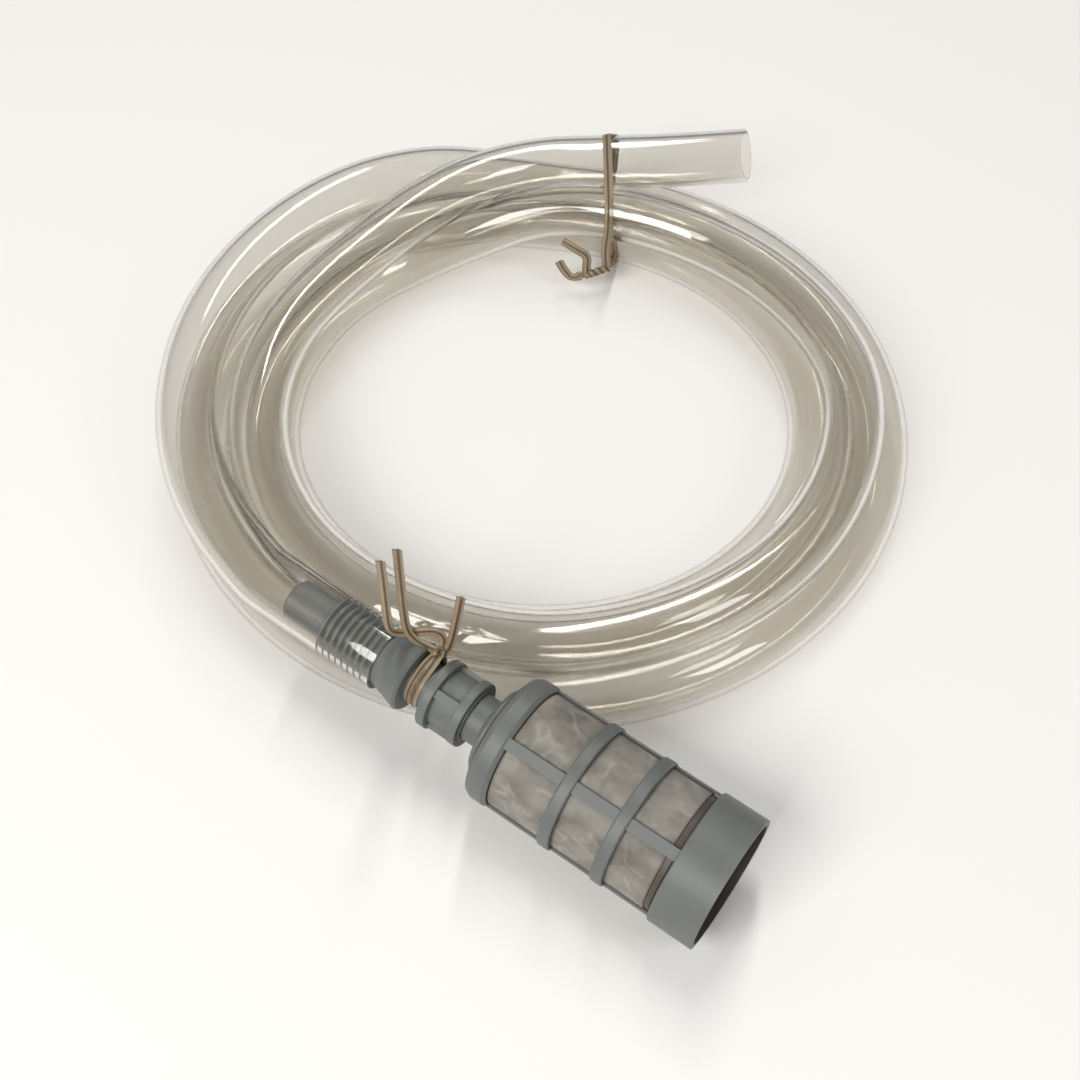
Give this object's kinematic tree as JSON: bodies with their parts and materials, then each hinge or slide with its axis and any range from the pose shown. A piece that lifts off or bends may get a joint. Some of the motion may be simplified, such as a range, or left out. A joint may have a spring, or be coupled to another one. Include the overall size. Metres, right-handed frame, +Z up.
{
  "type": "gravel vacuum siphon",
  "caption": "Coiled clear hose with a swivelling grey strainer nozzle, pull-out mesh filter and ball foot valve, for siphoning tanks and ponds.",
  "frame": {"origin": "on the floor under the middle of the nozzle, centred on the box of the nozzle's rigid pieces (the hose, its coil and the twist ties left out)", "axes": "+X along the nozzle towards its mouth, seen from above; +Y from the nozzle towards the coil; +Z up. The nozzle's own axis dips 4 degrees towards the mouth."},
  "size_m": [0.2588, 0.2706, 0.0754],
  "materials": {
    "clear_pvc": "clear flexible extruded tube, glossy",
    "grey_moulding": "blue-grey injection moulding, satin",
    "inner_moulding": "dark injection moulding, satin",
    "mesh_cloth": "fine woven polyester mesh, slightly shiny",
    "seal_rubber": "black moulded rubber",
    "ball_plastic": "ground polymer ball, smooth",
    "spring_steel": "bright spring wire",
    "tie_plastic": "tan plastic strip over a steel wire"
  },
  "bodies": {
    "hose": {"hose_coil": "clear_pvc", "hose_free_end": "clear_pvc", "hose_tail_end": "clear_pvc", "hose_tail": "grey_moulding", "tail_o_ring": "seal_rubber", "retaining_clip": "spring_steel", "twist_tie_coil": "tie_plastic", "twist_tie_neck": "tie_plastic"},
    "strainer": {"neck_collar": "grey_moulding", "strainer_cage": "grey_moulding", "valve_seat": "inner_moulding", "seat_o_ring": "seal_rubber", "ball_stop": "inner_moulding"},
    "ball": {"check_ball": "ball_plastic"},
    "cartridge": {"mesh_frame": "inner_moulding", "filter_mesh": "mesh_cloth", "end_grille": "inner_moulding", "end_mesh": "mesh_cloth"}
  },
  "joints": [
    {"name": "strainer_swivel", "type": "hinge", "parent": "hose", "child": "strainer", "pos_m": [-0.01691, 0, 0.02509], "axis": [0.9976, 0, -0.0698], "continuous": true},
    {"name": "ball_lift", "type": "slide", "parent": "strainer", "child": "ball", "axis": [-0.9976, 0, 0.0698], "range_m": [0, 0.0034]},
    {"name": "cartridge_pull", "type": "slide", "parent": "strainer", "child": "cartridge", "axis": [0.9976, 0, -0.0698], "range_m": [0, 0.04]}
  ]
}
